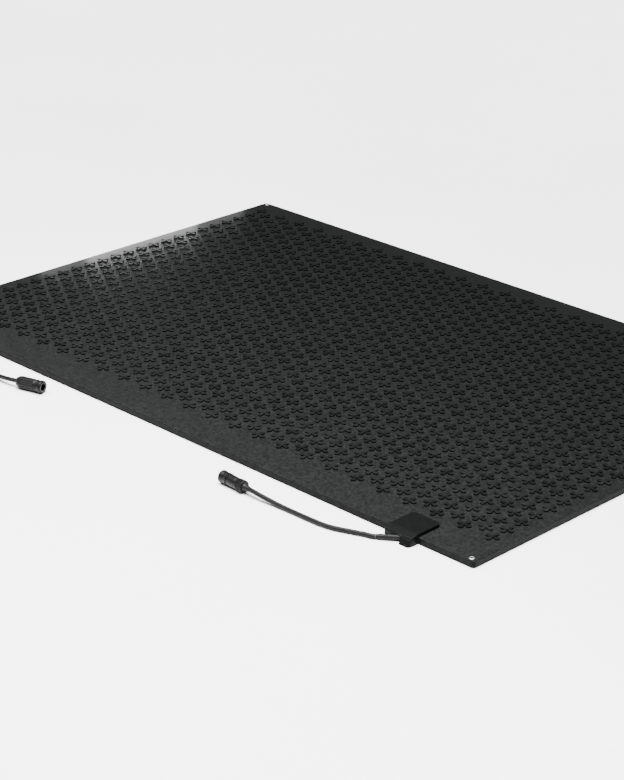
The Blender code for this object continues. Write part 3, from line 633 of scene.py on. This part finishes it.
def make_socket():
    """A long flared collar, a plain barrel, a knurled nut and a short tapered boot."""
    pose = lying(SOCKET)
    collar = in_mm(
        (7.5, 0), (9.1, 0, 1.2), (9.1, -4.6, 0.6), (8.6, -6, 0.8), (8.6, -13, 0.4), (9.0, -13.5, 0.3),
        (9.0, -15, 0.5), (7.1, -15), (7.1, -3.4), (7.5, -3.4),
    )
    shell = in_mm(
        (5.8, -1), (7.2, -1, 0.3), (7.2, -3, 0.2), (6.8, -3), (6.8, -15.3), (8.3, -15.3, 1.1),
        (8.3, -31, 0.3), (8.0, -31.6, 0.2), (8.0, -32.5, 0.2), (8.3, -33.1, 0.2), (8.3, -34.5, 0.3),
        (3, -34.5), (3, -20), (5.8, -20),
    )
    nut = in_mm(
        (3.9, -34.8), (7.9, -34.8, 0.3), (8.9, -35.7, 0.3), (8.9, -36.4), (8.9, -36.6), (8.9, -40.6),
        (8.9, -44.6), (8.9, -44.8), (8.9, -45.4, 0.3), (7.9, -46.5, 0.3), (3.9, -46.5),
    )
    boot = in_mm(
        (0, -35.1), (3.6, -35.1), (3.6, -46.8), (6.0, -46.8, 0.4), (4.5, -50.3, 1.2), (3.65, -56.8, 0.4),
        (0, -56.8),
    )
    tube = in_mm((0, -12), (0.5, -12), (0.5, -3.5, 0.1), (0.9, -3.4, 0.2), (0.9, -19.6), (0, -19.6))
    ribs = (26, 0.9 * MM, -36.5 * MM, -44.7 * MM)
    plastic, ring = "coupling_plastic", turned(collar, pose, 96)
    return [
        coupling_piece("socket_ring", ring, plastic, "socket_collar", "socket_collar"),
        coupling_piece("socket_barrel", turned(shell, pose, 96), plastic, "socket_shell"),
        coupling_piece("socket_knurl", turned(nut, pose, 208, ribs), plastic, "socket_nut"),
        coupling_piece("socket_tail", turned(boot, pose), "lead_sheath", "socket_boot"),
        *contacts("socket", pose, tube),
    ]


def make_plug():
    """A short round-lipped collar with an open mouth, a ribbed barrel and a conical boot."""
    pose = lying(PLUG)
    collar = in_mm(
        (7.5, 0), (9.8, 0, 1.5), (9.8, -5.2, 0.7), (9.2, -6.4, 0.6), (9.2, -10.4, 0.4), (9.6, -11, 0.3),
        (9.6, -12, 0.5), (7.1, -12), (7.1, -3.4), (7.5, -3.4),
    )
    shell = in_mm(
        (5.8, -1), (7.2, -1, 0.3), (7.2, -3, 0.2), (6.8, -3), (6.8, -12.3), (9.1, -12.3, 0.7),
        (9.5, -14.4), (9.5, -14.6), (9.5, -20), (9.5, -26), (9.5, -32), (9.5, -38.2), (9.5, -38.4),
        (9.4, -40, 0.4), (3, -40), (3, -24), (5.8, -24),
    )
    boot = in_mm(
        (0, -30), (2.7, -30), (2.7, -40.3), (9.3, -40.3, 0.6), (8.6, -43, 1.2), (6.8, -46.4, 0.6),
        (4.1, -47.1, 0.3), (3.7, -49.5, 0.2), (0, -49.5),
    )
    pin = in_mm((0, -8), (0.65, -8, 0.2), (0.9, -8.8, 0.3), (0.9, -23.6), (0, -23.6))
    ribs = (12, 1.0 * MM, -14.5 * MM, -38.3 * MM)
    plastic, ring = "coupling_plastic", turned(collar, pose, 96)
    return [
        coupling_piece("plug_ring", ring, plastic, "plug_collar", "plug_collar"),
        coupling_piece("plug_barrel", turned(shell, pose, 176, ribs), plastic, "plug_shell"),
        coupling_piece("plug_tail", turned(boot, pose), "lead_sheath", "plug_boot"),
        *contacts("plug", pose, pin),
    ]


def make_lead(name, going_with):
    points = in_mm(*ROUTES[name])
    curve = bpy.data.curves.new(f"lead_{name}_sheath", "CURVE")
    curve.dimensions, curve.bevel_depth, curve.bevel_resolution = "3D", LEAD_R, 6
    curve.use_fill_caps, curve.resolution_u = True, 8
    spline = curve.splines.new("BEZIER")
    spline.bezier_points.add(len(points) - 1)
    for point, place in zip(spline.bezier_points, points):
        point.co = place
        point.handle_left_type = point.handle_right_type = "AUTO"
    curve.materials.append(FINISHES["lead_sheath"])
    lead = bpy.data.objects.new(f"lead_{name}_sheath", curve)
    bpy.context.scene.collection.objects.link(lead)
    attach(lead, "mat")
    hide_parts(f"lead_{name}")
    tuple(points[0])


def finish_carried_over():
    """Each CAD node that still shows takes the finish of the slot it was packed with."""
    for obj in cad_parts.values():
        if not obj.hide_render:
            slot = obj.data.materials[0].name
            obj.data.materials.clear()
            obj.data.materials.append(FINISHES[slot])


# ---------------------------------------------------------------- stage, lights and camera


def make_stage():
    floor_finish = mottled("Floor", (0.84, 0.84, 0.84), (0.87, 0.87, 0.87), (0.85, 0.95), 2, 40, 0.02)
    floor = bpy.data.objects.new("floor", block((-20, -20, -0.02), (20, 20, -0.1 * MM)))
    floor.data.materials.append(floor_finish)
    bpy.context.scene.collection.objects.link(floor)


def soft_light(name, place, target, size, power, spread=180):
    lamp = bpy.data.lights.new(name, "AREA")
    lamp.shape, lamp.size, lamp.size_y = "RECTANGLE", *size
    lamp.energy, lamp.spread = power, math.radians(spread)
    obj = bpy.data.objects.new(name, lamp)
    obj.location = place
    obj.rotation_euler = (Vector(target) - Vector(place)).to_track_quat("-Z", "Y").to_euler()
    obj.visible_camera = False
    bpy.context.scene.collection.objects.link(obj)


def make_lights():
    soft_light("overhead", (0, 0.5, 4), (0, 0.5, 0), (26, 26), 10000, 70)
    soft_light("front_panel", (0.3, -0.9, 1.5), (0.3, -0.9, 0), (2.4, 0.8), 36, 100)
    soft_light("edge_sheen", (-0.63, 0.12, 0.022), (-0.5, 0.12, 0.005), (0.26, 0.016), 0.2, 120)
    soft_light("edge_sheen_ends", (-0.632, 0.13, 0.022), (-0.5, 0.13, 0.005), (0.48, 0.016), 0.13, 120)
    world = bpy.data.worlds.new("studio")
    world.use_nodes = True
    background = world.node_tree.nodes["Background"]
    background.inputs["Color"].default_value = (1, 1, 1, 1)
    background.inputs["Strength"].default_value = 0.12
    bpy.context.scene.world = world


def make_camera():
    lens = bpy.data.cameras.new("camera")
    lens.lens, lens.sensor_width, lens.shift_x = 101.56, 36, 0.0191
    lens.dof.use_dof = False
    camera = bpy.data.objects.new("camera", lens)
    camera.location = (2.1831, -2.3152, 1.3217)
    camera.rotation_euler = [math.radians(a) for a in (66.498, -0.55, 45.049)]
    bpy.context.scene.collection.objects.link(camera)
    bpy.context.scene.camera = camera


make_camera()
reliefs = {name: make_strain_relief(name, side) for name, side in sides()}
make_lead("right", [reliefs["right"], *make_socket(), "link_socket_insert", "link_socket_seal"])
make_lead("left", [reliefs["left"], *make_plug(), "link_plug_insert", "link_plug_seal"])
make_sheet()
make_studs("mat_studs_front", range(0, ROWS // 2))
make_studs("mat_studs_rear", range(ROWS // 2, ROWS))
make_eyelets()
for name, side in sides():
    make_lid(name, side)
    make_base(name, side)
finish_carried_over()
make_stage()
make_lights()
